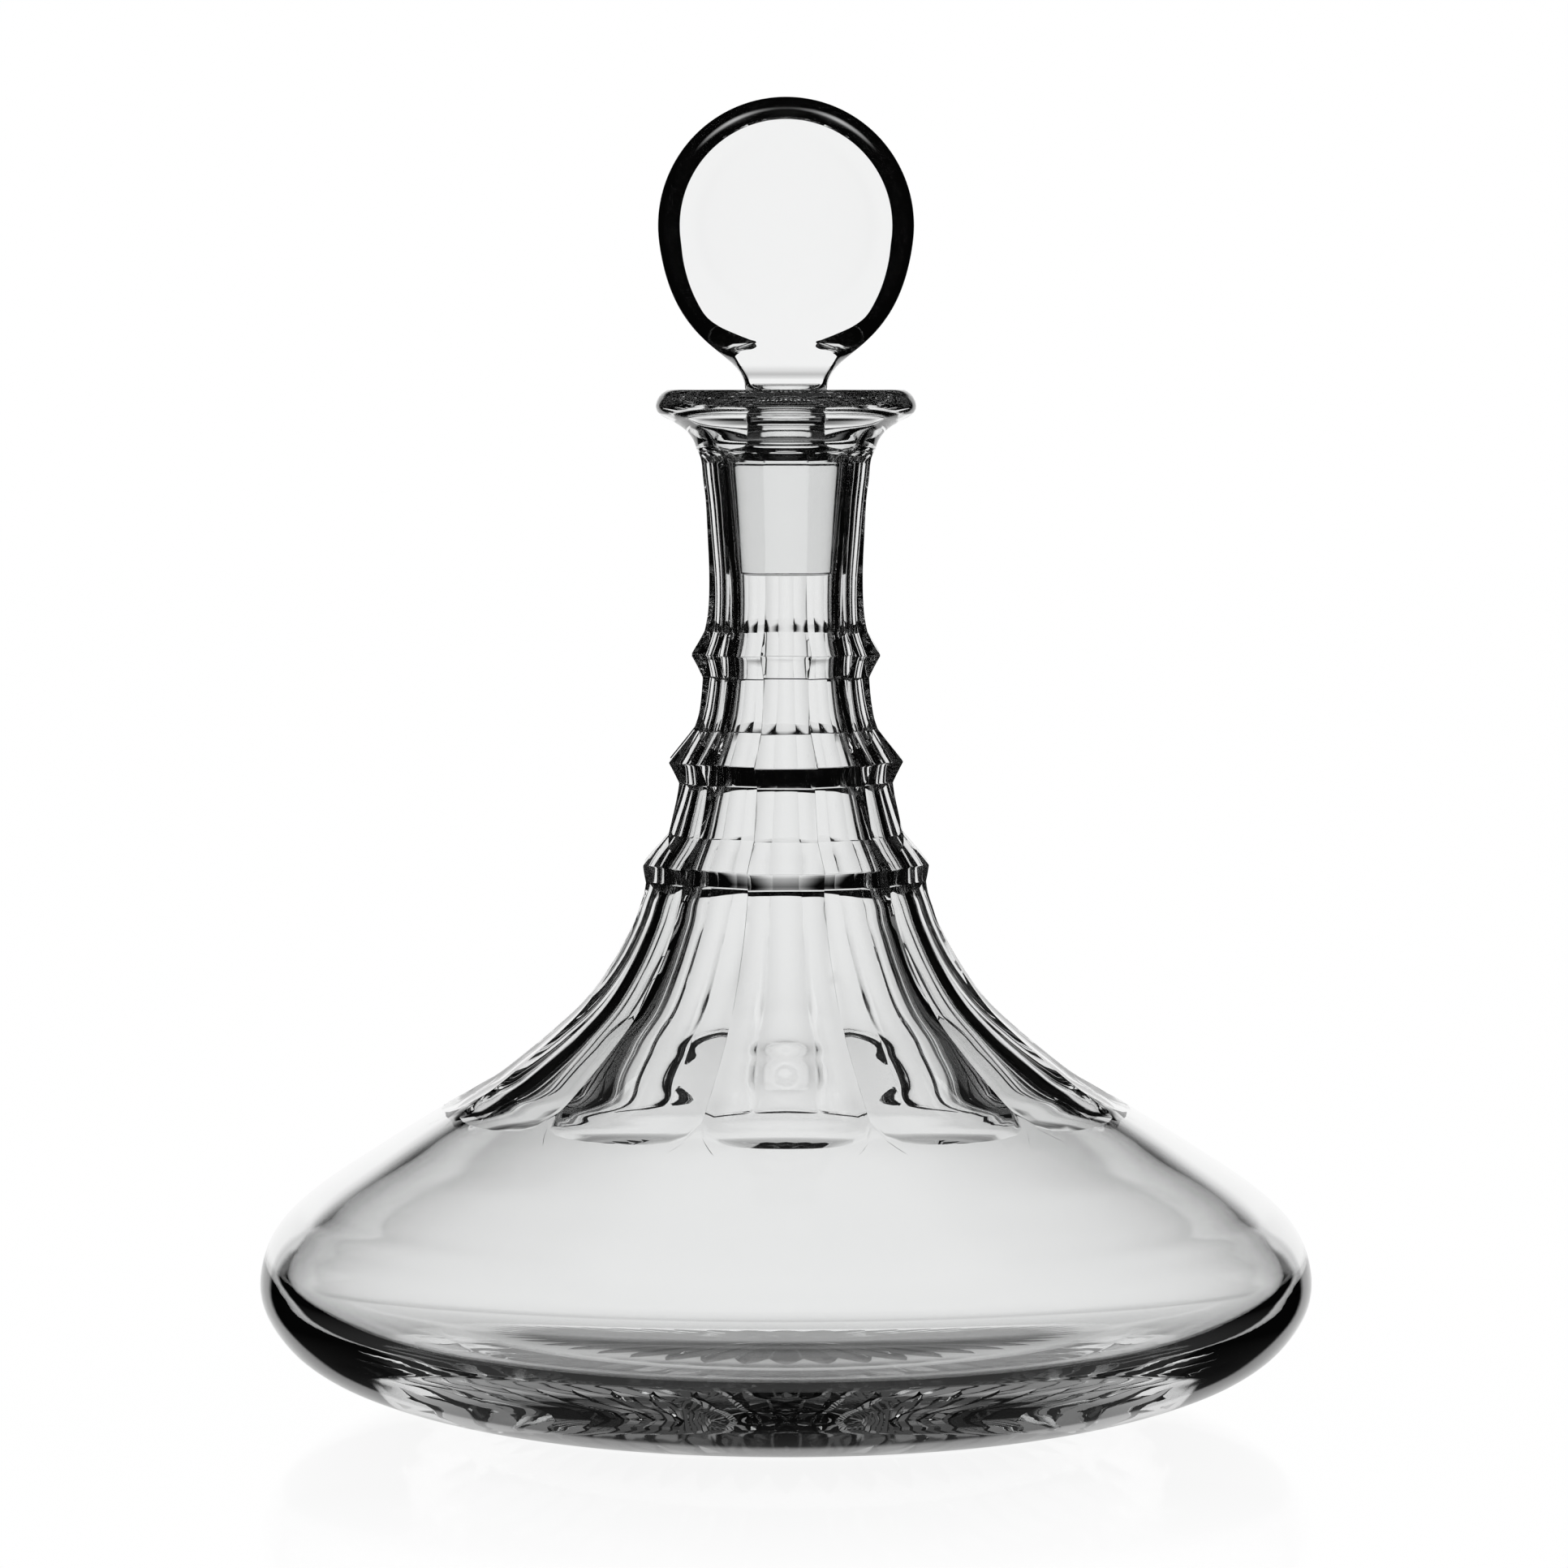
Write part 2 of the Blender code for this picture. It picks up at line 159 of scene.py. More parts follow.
FLANK_FACE_END = 203.6  # height on the face that goes with the flank's foot

# Round part below the face: (radius, height)
WAIST = [
    (8.0, 202.1), (7.9, 200.0), (7.8, 196.5), (7.85, 194.0), (8.05, 192.4), (8.6, 191.2),
    (9.9, 190.2), (11.2, 189.3), (11.95, 188.5),
]
PLUG_TOP = (12.1, 188.1)
PLUG_END = (10.02, 166.1)
PLUG_EDGE_R = 1.0  # rounding at the plug's lower end, sideways and down
PLUG_EDGE_DROP = 0.4


# ---------------------------------------------------------------- curves
def clamped(value):
    return min(1.0, max(0.0, value))


def smoothstep(share):
    return share * share * (3 - 2 * share)


def lengths_along(curve):
    steps = np.linalg.norm(np.diff(curve, axis=0), axis=1)
    return np.concatenate([[0], np.cumsum(steps)])


def smooth_line(points, spacing):
    """A centripetal Catmull-Rom curve through the points, resampled at an even spacing."""
    p = np.array(points, float)
    p = np.vstack([2 * p[0] - p[1], p, 2 * p[-1] - p[-2]])
    dense = []
    for a, b, c, d in zip(p, p[1:], p[2:], p[3:]):
        t0 = 0.0
        t1 = t0 + max(np.linalg.norm(b - a), 1e-6) ** 0.5
        t2 = t1 + max(np.linalg.norm(c - b), 1e-6) ** 0.5
        t3 = t2 + max(np.linalg.norm(d - c), 1e-6) ** 0.5
        t = np.linspace(t1, t2, 24, endpoint=False)[:, None]
        a1 = (t1 - t) / (t1 - t0) * a + (t - t0) / (t1 - t0) * b
        a2 = (t2 - t) / (t2 - t1) * b + (t - t1) / (t2 - t1) * c
        a3 = (t3 - t) / (t3 - t2) * c + (t - t2) / (t3 - t2) * d
        b1 = (t2 - t) / (t2 - t0) * a1 + (t - t0) / (t2 - t0) * a2
        b2 = (t3 - t) / (t3 - t1) * a2 + (t - t1) / (t3 - t1) * a3
        dense.append((t2 - t) / (t2 - t1) * b1 + (t - t1) / (t2 - t1) * b2)
    dense = np.vstack(dense + [p[-2][None]])
    length = lengths_along(dense)
    count = max(2, int(round(length[-1] / spacing)) + 1)
    at = np.linspace(0, length[-1], count)
    return np.column_stack([np.interp(at, length, column) for column in dense.T])


def crisp_line(pieces, spacing, fillet):
    """Smooth pieces joined end to end, with a small arc worked into each corner between two."""
    lines = [smooth_line(piece, spacing) for piece in pieces]
    out = [lines[0][:-1]]
    for before, after in zip(lines, lines[1:]):
        corner = after[0]
        back = (before[-2] - corner) / np.linalg.norm(before[-2] - corner)
        ahead = (after[1] - corner) / np.linalg.norm(after[1] - corner)
        t = np.linspace(0, 1, 5)[:, None]
        start = corner + back * fillet
        end = corner + ahead * fillet
        out.append((1 - t) ** 2 * start + 2 * t * (1 - t) * corner + t * t * end)
        out.append(after[1:] if after is lines[-1] else after[1:-1])
    return np.vstack(out)


def at_height(curve, z, values=None):
    """Values along a curve (ordered top to bottom) at height z; its first column by default."""
    values = curve[:, 0] if values is None else values
    return np.interp(-np.asarray(z, float), -curve[:, 1], values)


# ---------------------------------------------------------------- cut panels
def hollowing(z):
    """How far a panel's section is hollowed, as a share of its half width: flat on the neck,
    a shallow curve on the skirt."""
    return 0.03 * clamped((104.0 - z) / 8.0) + 0.055 * clamped((96.0 - z) / 30.0)


def across_panel(column):
    """The column's panel, its step in that panel, and its place across it from -1 to 1."""
    sector, step = divmod(column, PER_PANEL)
    return sector, step, (step - PER_PANEL / 2) / (PER_PANEL / 2)


def panel_point(apothem, column, z):
    """Plan position on the twelve-sided section, its corners slightly rounded."""
    sag = hollowing(z) * apothem * math.tan(HALF_PANEL)
    apothem -= 0.6 * sag
    corner_apothem = apothem + sag - EDGE_ROUND
    sector, _, u = across_panel(column)
    flat = 1.0 - CORNER_COLUMNS / (PER_PANEL / 2)
    if abs(u) <= flat + 1e-9:
        # columns lie closer together towards the corners
        across = 0.5 * u / flat + 0.5 * math.sin(math.pi / 2 * u / flat)
        x = apothem + sag * across**2
        y = across * corner_apothem * math.tan(HALF_PANEL)
    else:
        turn = HALF_PANEL * (abs(u) - flat) / (1.0 - flat)
        x = corner_apothem + EDGE_ROUND * math.cos(turn)
        y = corner_apothem * math.tan(HALF_PANEL) + EDGE_ROUND * math.sin(turn)
        y = math.copysign(y, u)
    middle = sector * 2 * HALF_PANEL - math.pi / 2
    cosine, sine = math.cos(middle), math.sin(middle)
    return x * cosine - y * sine, x * sine + y * cosine


def wander(sector, z):
    """Height error of one panel's cut at the nearby ring, counted from the top."""
    ring_number = 1 if z > 140.0 else 2 if z > 118.0 else 3
    wave = math.cos(1.3 * sector * ring_number + 0.7)
    return 0.34 * math.sin(2.4 * sector + 1.9 * ring_number) * wave


def hand_cut(column, z):
    """The small differences in height between one panel's ring cuts and the next, as a cutter
    leaves them by hand. They fade out towards the skirt and the top of the neck."""
    sector, step, u = across_panel(column)
    if step == 0:
        share = 0.5 * (wander(sector, z) + wander((sector - 1) % PANELS, z))
    else:
        share = wander(sector, z) + 0.12 * u * math.sin(3.1 * sector + 0.2 * z)
    return share * clamped((z - 80.0) / 20.0) * clamped((183.0 - z) / 12.0)


def panel_row(apothems, heights):
    """One row of the cut panels; each argument is one value or one per column."""
    apothems = np.broadcast_to(apothems, COLUMNS)
    heights = np.broadcast_to(heights, COLUMNS)
    row = []
    for column, (apothem, z) in enumerate(zip(apothems, heights)):
        x, y = panel_point(apothem, column, z)
        row.append((x, y, z + hand_cut(column, z)))
    return np.array(row)


def panel_ends(panel, blank, search):
    """The point in each column where the panel crosses the blank. search holds a height where
    the panel lies inside the blank and one where it lies outside."""
    ends = []
    for column in range(COLUMNS):
        inside, outside = search
        for _ in range(40):
            z = (inside + outside) / 2
            x, y = panel_point(float(at_height(panel, z)), column, z)
            if math.hypot(x, y) < float(at_height(blank, z)):
                inside = z
            else:
                outside = z
        ends.append((x, y, z))
    return np.array(ends)


def angles_of(points):
    """The points' angles around z, on the same turn as the even ones."""
    angles = np.unwrap(np.arctan2(points[:, 1], points[:, 0]))
    return angles + (EVEN_ANGLES.mean() - angles.mean())


# ---------------------------------------------------------------- rows of the body
def ring(radius, z, angles=EVEN_ANGLES):
    z = np.broadcast_to(z, angles.shape)
    return np.column_stack([radius * np.cos(angles), radius * np.sin(angles), z])


def ring_along(curve, length, at, angles=EVEN_ANGLES):
    """A ring on a turned curve, at the given lengths along it."""
    radius = np.interp(at, length, curve[:, 0])
    return ring(radius, np.interp(at, length, curve[:, 1]), angles)


def star_rows():
    """The star-cut base from its centre out, and the flat foot ring around it."""
    radii = np.linspace(0, 64, 641)
    ray_depth = np.where(
        radii < STAR_DEEPEST_R,
        STAR_CENTRE_DEPTH + STAR_EXTRA_DEPTH * np.sin(radii / STAR_DEEPEST_R * math.pi / 2),
        STAR_CENTRE_DEPTH + STAR_EXTRA_DEPTH - STAR_FADE * (radii - STAR_DEEPEST_R) ** 2,
    )
    half_ray = math.pi / STAR_RAYS
    turned = np.arange(COLUMNS) * math.tau / COLUMNS
    off_ray = np.abs((turned + half_ray) % (math.tau / STAR_RAYS) - half_ray)
    run_out = []
    for angle in off_ray:
        depth = ray_depth - STAR_SIDE_SLOPE * radii * math.sin(angle)
        run_out.append(radii[np.nonzero(depth > 0.0)[0][-1]])
    run_out = np.array(run_out)

    rows = []
    for share in np.concatenate([[0.03], np.linspace(0.08, 1.0, 22)]):
        r = run_out * share
        z = np.interp(r, radii, ray_depth) - STAR_SIDE_SLOPE * r * np.sin(off_ray)
        rows.append(ring(r, np.maximum(z, 0.0) if share < 1.0 else 0.0))
    for share in (0.35, 0.75, 1.0):
        rows.append(ring(run_out + (FOOT_R - run_out) * share, 0.0))
    return rows


def shoulder_rows(shoulder, ends):
    """The round blank from the foot up to the panels' lower ends."""
    length = lengths_along(shoulder)
    end_at = at_height(shoulder, ends[:, 2], length)
    level_at = at_height(shoulder, BELLY_TOP, length)
    cut_angles = angles_of(ends)
    levels = np.linspace(length[-1], level_at, 68)
    rows = [ring_along(shoulder, length, at) for at in levels]
    for k in range(1, 13):
        share = k / 12
        angles = EVEN_ANGLES + (cut_angles - EVEN_ANGLES) * smoothstep(share)
        rows.append(ring_along(shoulder, length, level_at + (end_at - level_at) * share, angles))
    return rows


def panel_rows(skirt, lower_ends, neck, upper_ends):
    """The cut panels, from their lower ends on the shoulder to their upper ends under the lip."""
    rows = []
    steps = 14
    for k in range(1, steps + 1):
        z = lower_ends[:, 2] + (SCOOP_TOP - lower_ends[:, 2]) * k / steps
        rows.append(panel_row(at_height(skirt, z), z))

    profile = crisp_line(PANEL_PIECES, PANEL_SPACING, PANEL_FILLET)
    for apothem, z in profile[::-1]:
        if SCOOP_TOP + 0.5 < z < NECK_TOP - 0.3:
            rows.append(panel_row(apothem, z))

    steps = 9
    for k in range(steps + 1):
        z = NECK_TOP + (upper_ends[:, 2] - NECK_TOP) * k / steps
        rows.append(panel_row(at_height(neck, z), z))
    return rows


def lip_rows(lip, underside, ends):
    """The lip, from the panels' upper ends over the rim to the mouth."""
    length = lengths_along(lip)
    end_at = at_height(underside, ends[:, 2], length[len(lip) - len(underside):])
    cut_angles = angles_of(ends)
    steps = 45
    rows = []
    for k in range(1, steps + 1):
        share = k / steps
        blend = smoothstep(clamped(1 - share / 0.6))
        angles = EVEN_ANGLES + (cut_angles - EVEN_ANGLES) * blend
        rows.append(ring_along(lip, length, end_at * (1 - share), angles))
    return rows


def hollow_rows():
    """The inside, from the mouth down to the floor."""
    rows = [ring(r, z) for r, z in smooth_line(HOLLOW_MOUTH, 0.7)[1:]]
    rows += [ring(r, z) for r, z in smooth_line(HOLLOW_SEAT, 1.8)[1:]]
    for step, (r, z) in enumerate(smooth_line(HOLLOW_NECK, 1.9)[1:]):
        # half as many rows outside the wide lower part
        if step % 2 or (z < 62.0 and r > 58.0):
            rows.append(ring(r, z))
    return rows


def body_rows():
    shoulder = smooth_line(BLANK_SHOULDER, 0.25)
    skirt = smooth_line(PANEL_SKIRT, 0.25)
    neck = smooth_line(PANEL_NECK, 0.25)
    lip = smooth_line(BLANK_LIP, 0.2)
    underside = lip[5:]  # leaves out the rise at the mouth
    underside = underside[underside[:, 1] < LIP_UNDERSIDE]
    lower_ends = panel_ends(skirt, shoulder, LOWER_END_SEARCH)
    upper_ends = panel_ends(neck, underside, UPPER_END_SEARCH)
    return (
        star_rows()
        + shoulder_rows(shoulder, lower_ends)
        + panel_rows(skirt, lower_ends, neck, upper_ends)
        + lip_rows(lip, underside, upper_ends)
        + hollow_rows()
    )


# ---------------------------------------------------------------- meshes
def finished_object(name, mesh, bm):
    """Turn the closed surface's normals outward, store it and shade it smooth between creases."""
    bmesh.ops.recalc_face_normals(bm, faces=bm.faces)
    if bm.calc_volume(signed=True) < 0:
        bmesh.ops.reverse_faces(bm, faces=bm.faces)
    bm.to_mesh(mesh)
    bm.free()
    obj = bpy.data.objects.new(name, mesh)
    bpy.context.scene.collection.objects.link(obj)
    mesh.shade_smooth()
    mesh.set_sharp_from_angle(angle=SHARP_ANGLE)
    return obj


def lofted(name, rows, start_z, end_z):
    """A closed mesh of rings, each end closed on a point on the axis."""
    points = np.vstack([[(0.0, 0.0, start_z)]] + rows + [[(0.0, 0.0, end_z)]]) / MM_PER_M
    n = len(rows[0])
    faces = [(0, 1 + (j + 1) % n, 1 + j) for j in range(n)]
    for i in range(len(rows) - 1):
        a = 1 + i * n
        b = a + n
        faces += [(a + j, a + (j + 1) % n, b + (j + 1) % n, b + j) for j in range(n)]
    last = 1 + (len(rows) - 1) * n
    end = len(points) - 1
    faces += [(last + j, last + (j + 1) % n, end) for j in range(n)]
    mesh = bpy.data.meshes.new(name)
    mesh.from_pydata(points.tolist(), [], faces)
    mesh.validate()
    bm = bmesh.new()
    bm.from_mesh(mesh)
    bmesh.ops.remove_doubles(bm, verts=bm.verts, dist=WELD)
    return finished_object(name, mesh, bm)


def true_shoulder_normals(mesh):
    """Give the faces left of the blank's shoulder its own turned normals, so it stays fair right
    up to the panels' ends."""
    line = smooth_line(BLANK_SHOULDER, 0.25)
    tangent = np.gradient(line, axis=0)
    outward = np.column_stack([-tangent[:, 1], tangent[:, 0]])
    outward /= np.linalg.norm(outward, axis=1)[:, None]

    place = np.empty(len(mesh.vertices) * 3)
    mesh.vertices.foreach_get("co", place)
    x, y, z = place.reshape(-1, 3).T * MM_PER_M
    radius = np.hypot(x, y)
    on_blank = (np.abs(radius - at_height(line, z)) < 0.02) & (z > 20.0) & (z < 68.0)

    loops = len(mesh.loops)
    corner_vertex = np.empty(loops, dtype=np.int32)
    mesh.loops.foreach_get("vertex_index", corner_vertex)
    normals = np.empty(loops * 3, dtype=np.float32)
    mesh.corner_normals.foreach_get("vector", normals)
    normals = normals.reshape(-1, 3)
    starts = np.empty(len(mesh.polygons), dtype=np.int32)
    mesh.polygons.foreach_get("loop_start", starts)

    # only faces with every corner on the blank
    whole = np.minimum.reduceat(on_blank[corner_vertex].astype(np.int32), starts)
    chosen = np.repeat(whole, np.diff(np.append(starts, loops))).astype(bool)
    v = corner_vertex[chosen]
    out_r = at_height(line, z[v], outward[:, 0])
    out_z = at_height(line, z[v], outward[:, 1])
    turned = np.column_stack([out_r * x[v] / radius[v], out_r * y[v] / radius[v], out_z])
    normals[chosen] = turned / np.linalg.norm(turned, axis=1)[:, None]
    mesh.normals_split_custom_set(normals.tolist())


def make_body():
    obj = lofted("crystal_body", body_rows(), STAR_CENTRE_DEPTH, HOLLOW_NECK[-1][1])
    true_shoulder_normals(obj.data)
    return obj


# ---------------------------------------------------------------- the stopper
def flank(share):
    """Half width and height on the cubic curve from the disc's edge down to the flank's foot."""
    cosine, sine = math.cos(DISC_END), math.sin(DISC_END)
    first = (DISC_R * cosine, DISC_Z - DISC_R * sine)
    second = (first[0] - FLANK_TOP_HANDLE * sine, first[1] - FLANK_TOP_HANDLE * cosine)
    third = (FLANK_FOOT[0] + FLANK_FOOT_HANDLE[0], FLANK_FOOT[1] + FLANK_FOOT_HANDLE[1])
    rest = 1 - share
    weights = (rest**3, 3 * share * rest**2, 3 * share * share * rest, share**3)
    points = (first, second, third, FLANK_FOOT)
    return tuple(sum(w * p[axis] for w, p in zip(weights, points)) for axis in (0, 1))


def stopper_stations():
    """Sections from the top down: (edge x, edge z, face x, face z, half thickness, roundness),
    where roundness 1 is an elliptical section and 0 is the disc's rim."""
    stations = []
    steps = 60
    for k in range(steps + 1):
        angle = math.pi / 2 - (math.pi / 2 + DISC_END) * k / steps
        cosine = 0.0 if k == 0 else math.cos(angle)
        sine = math.sin(angle)
        edge = (DISC_R * cosine, DISC_Z + DISC_R * sine)
        face = (FACE_R * cosine, DISC_Z + FACE_R * sine)
        stations.append((*edge, *face, DISC_HALF_T, 0.0))

    stem = smooth_line(STEM_FACE, 0.15)
    foot_x, foot_z = FLANK_FOOT
    face_start, edge_start = face[1], edge[1]
    face_per_edge = (face_start - FLANK_FACE_END) / (edge_start - foot_z)
    steps = 70
    for k in range(1, steps + 1):
        x, z = flank(k / steps)
        level = face_start + (z - edge_start) * face_per_edge
        width = float(at_height(stem, level))
        half_t = float(at_height(stem, level, stem[:, 2]))
        stations.append((x, z, width, level, half_t, clamped((209.8 - level) / 3.0)))

    stem_end = WAIST[0][1]
    for z in np.linspace(203.3, stem_end, 9):
        x = foot_x - 0.22 * (foot_z - min(z, foot_z))
        width = float(at_height(stem, z)) if z > stem_end + 0.01 else 0.0
        stations.append((x, z, width, z, float(at_height(stem, z, stem[:, 2])), 1.0))

    turned = list(smooth_line(WAIST, 0.45)[1:])
    turned += list(np.linspace(PLUG_TOP, PLUG_END, 13))
    for degrees in (20, 45, 70, 90):
        turn = math.radians(degrees)
        r = PLUG_END[0] - PLUG_EDGE_R * (1 - math.cos(turn))
        turned.append((r, PLUG_END[1] - PLUG_EDGE_DROP * math.sin(turn)))
    return stations + [(r, z, 0.0, z, r, 1.0) for r, z in turned]


def edge_arc(station, steps):
    """Points of one section from the edge of the flat face round to the mid plane y = 0."""
    edge_x, edge_z, face_x, face_z, half_t, roundness = station
    first_reach = RIM_FIRST / max(DISC_R - FACE_R, edge_x - face_x)
    first_depth = 1.0 - RIM_FIRST * math.tan(math.radians(RIM_TILT)) / half_t
    points = []
    for k in range(steps):
        s = k / steps
        first, second = 3 * s * (1 - s) ** 2, 3 * s * s * (1 - s)
        rim_reach = first * first_reach + second + s**3
        rim_depth = ((1 - s) ** 3 + first * first_depth + second * RIM_LAST_DEPTH) * half_t
        psi = s * math.pi / 2
        reach = (1 - roundness) * rim_reach + roundness * math.sin(psi)
        depth = (1 - roundness) * rim_depth + roundness * half_t * math.cos(psi)
        x = face_x + (edge_x - face_x) * reach
        points.append((x, -depth, face_z + (edge_z - face_z) * reach))
    return points + [(edge_x, 0.0, edge_z)]


def dish(x, z):
    """Depth of the shallow dish in the disc's face."""
    r = math.hypot(x, z - DISC_Z) / DISH_R
    soft = clamped((DISH_REACH - r) / DISH_SOFT)
    return DISH_DEPTH * (1.2 - r * r) / 1.2 * smoothstep(soft)


def bridge(bm, upper, lower):
    """Faces between two rows of vertices, either of which may be a single point."""
    if len(upper) == 1:
        for a, b in zip(lower, lower[1:]):
            bm.faces.new((upper[0], a, b))
    elif len(lower) == 1:
        for a, b in zip(upper, upper[1:]):
            bm.faces.new((a, lower[0], b))
    else:
        for corners in zip(upper, lower, lower[1:], upper[1:]):
            bm.faces.new(corners)


def make_stopper():
    """One quarter at +x, -y, mirrored across x and then y."""
    arc_steps, face_columns = 24, 26
    bm = bmesh.new()

    def vertex(x, y, z):
        return bm.verts.new((x / MM_PER_M, y / MM_PER_M, z / MM_PER_M))

    arcs, faces = [], []
    for station in stopper_stations():
        _, _, face_x, face_z, half_t, _ = station
        arc = [vertex(*point) for point in edge_arc(station, arc_steps)]
        row = []
        if face_x > 0.0:
            for k in range(face_columns):
                x = face_x * k / face_columns
                row.append(vertex(x, -(half_t - dish(x, face_z)), face_z))
        arcs.append(arc)
        faces.append(row + [arc[0]])
    for rows in (arcs, faces):
        for upper, lower in zip(rows, rows[1:]):
            bridge(bm, upper, lower)
    bridge(bm, arcs[-1], [vertex(0.0, 0.0, PLUG_END[1] - PLUG_EDGE_DROP)])

    for axis in ("x", "y"):
        quarter = list(bm.verts) + list(bm.edges) + list(bm.faces)
        for item in bmesh.ops.duplicate(bm, geom=quarter)["geom"]:
            if isinstance(item, bmesh.types.BMVert):
                setattr(item.co, axis, -getattr(item.co, axis))
        bmesh.ops.remove_doubles(bm, verts=bm.verts, dist=WELD)
    bmesh.ops.dissolve_degenerate(bm, edges=bm.edges, dist=0.0000005)
    return finished_object("crystal_stopper", bpy.data.meshes.new("crystal_stopper"), bm)


# ---------------------------------------------------------------- shader nodes
class Graph:
    """Short ways to add nodes to a node tree. A value may be a number or another node's output."""

    def __init__(self, owner, clear=True):
        owner.use_nodes = True
        self.nodes = owner.node_tree.nodes
        self.links = owner.node_tree.links
        if clear:
            self.nodes.clear()

    def feed(self, node, inputs):
        for key, value in inputs.items():
            if isinstance(value, bpy.types.NodeSocket):
                self.links.new(value, node.inputs[key])
            else:
                node.inputs[key].default_value = value

    def add(self, kind, inputs={}, **settings):
        node = self.nodes.new("ShaderNode" + kind)
        for name, value in settings.items():
            setattr(node, name, value)
        self.feed(node, inputs)
        return node

    def math(self, operation, *values):
        return self.add("Math", dict(enumerate(values)), operation=operation).outputs[0]

    def times(self, *values):
        return functools.reduce(functools.partial(self.math, "MULTIPLY"), values)

    def plus(self, a, b):
        return self.math("ADD", a, b)

    def map_range(self, value, start, end, at_start=1.0, at_end=0.0, shape="LINEAR"):
        inputs = dict(enumerate((value, start, end, at_start, at_end)))
        return self.add("MapRange", inputs, interpolation_type=shape).outputs[0]

    def noise(self, vector, scale, detail):
        inputs = {"Vector": vector, "Scale": scale, "Detail": detail}
        return self.add("TexNoise", inputs).outputs[0]

    def mix_shaders(self, factor, first, second):
        inputs = {0: factor, 1: first.outputs[0], 2: second.outputs[0]}
        return self.add("MixShader", inputs)

    def output_by_ray(self, kind, others, camera):
        """End in an output that shows one shader to camera rays and another to all others."""
        is_camera = self.add("LightPath").outputs["Is Camera Ray"]
        self.add(kind, {0: self.mix_shaders(is_camera, others, camera).outputs[0]})


# ---------------------------------------------------------------- light
WHITE = (1, 1, 1, 1)
DEGREES = 57.2958  # in one radian
# Where each edge of the backdrop starts and ends to fade, in degrees off the view direction
EDGE_SIDES = (25.0, 30.0)
EDGE_ABOVE = (15.0, 21.0)
EDGE_BELOW = (26.0, 32.0)
EDGE_AROUND = (30.0, 34.0)
FALL_SIDES = (0.0, 34.0)  # gentler fall in brightness from the middle to the sides
SIDE_GLOW = 0.76
MIDDLE_GAIN = 0.22
OVERHEAD_EDGE = (60.0, 70.0)
OVERHEAD_GLOW = 0.2
ROOM_GLOW = 0.0015


def bright_field(graph, direction):
    """Brightness of the surroundings along a direction, laid out around the camera's own view:
    a lit backdrop straight ahead in a dark room, with a soft glow overhead."""
    turned = graph.add(
        "VectorTransform", {0: direction},
        vector_type="VECTOR", convert_from="WORLD", convert_to="CAMERA",
    )
    x, y, z = graph.add("SeparateXYZ", {0: turned.outputs[0]}).outputs
    side = graph.times(graph.math("ARCTAN2", x, z), DEGREES)
    up = graph.times(graph.math("ARCSINE", y), DEGREES)
    sideways = graph.math("ABSOLUTE", side)
    off_axis = graph.times(graph.math("ARCCOSINE", z), DEGREES)

    def fading(angle, edge):
        return graph.map_range(angle, *edge, shape="SMOOTHSTEP")

    below = fading(graph.times(up, -1.0), EDGE_BELOW)
    within = graph.times(below, fading(off_axis, EDGE_AROUND))
    fall = graph.plus(graph.times(fading(sideways, FALL_SIDES), MIDDLE_GAIN), SIDE_GLOW)
    sides, above = fading(sideways, EDGE_SIDES), fading(up, EDGE_ABOVE)
    backdrop = graph.times(sides, above, within, fall)
    is_overhead = graph.math("SUBTRACT", 1.0, fading(up, OVERHEAD_EDGE))
    return graph.plus(backdrop, graph.times(is_overhead, OVERHEAD_GLOW))


def make_world():
    """Plain white to the camera, the bright field to every other ray."""
    world = bpy.data.worlds.new("studio")
    bpy.context.scene.world = world
    graph = Graph(world)
    field = bright_field(graph, graph.add("TexCoord").outputs["Generated"])
    glow = graph.plus(field, ROOM_GLOW)
    seen = graph.add("Background", {0: WHITE, 1: 1.0})
    unseen = graph.add("Background", {0: WHITE, 1: glow})
    graph.output_by_ray("OutputWorld", unseen, seen)


def floor_material():
    """White with a faint mirror to the camera; to other rays it carries on the bright field,
    shaded under the decanter. Distances are from the decanter's axis, in metres."""
    material = bpy.data.materials.new("floor_gloss")
    graph = Graph(material)
    geometry = graph.add("NewGeometry").outputs
    looking = graph.add("VectorMath", {0: geometry["Incoming"], "Scale": -1.0}, operation="SCALE")
    field = bright_field(graph, looking.outputs[0])
    away = graph.add("VectorMath", {0: geometry["Position"]}, operation="LENGTH").outputs["Value"]

    # the floor under the decanter lies in its own soft shade, deepest under the star's middle
    under = graph.map_range(away, start=0.07, end=0.13)
    shade = graph.map_range(away, start=0.045, end=0.065, at_start=0.82, at_end=0.5)
    open_floor = graph.times(field, graph.math("SUBTRACT", 1.0, graph.times(under, shade)))
    shade_glow = graph.times(under, 0.06)
    glow = graph.plus(open_floor, graph.plus(shade_glow, ROOM_GLOW))
    unseen = graph.add("Emission", {1: glow})

    white = graph.add("Emission", {1: 1.0})
    mirror = graph.add("BsdfGlossy", {"Roughness": 0.06, "Color": WHITE})
    mirror_share = graph.map_range(away, start=0.075, end=0.185, at_start=0.10, at_end=0.02)
    seen = graph.mix_shaders(mirror_share, white, mirror)
    graph.output_by_ray("OutputMaterial", unseen, seen)
    return material


def make_floor():
    half = 6.0
    mesh = bpy.data.meshes.new("floor")
    corners = [(-half, -half, 0), (half, -half, 0), (half, half, 0), (-half, half, 0)]
    mesh.from_pydata(corners, [], [(0, 1, 2, 3)])
    floor = bpy.data.objects.new("floor", mesh)
    floor.location.z = -0.0003  # just clear of the foot
    bpy.context.scene.collection.objects.link(floor)
    mesh.materials.append(floor_material())


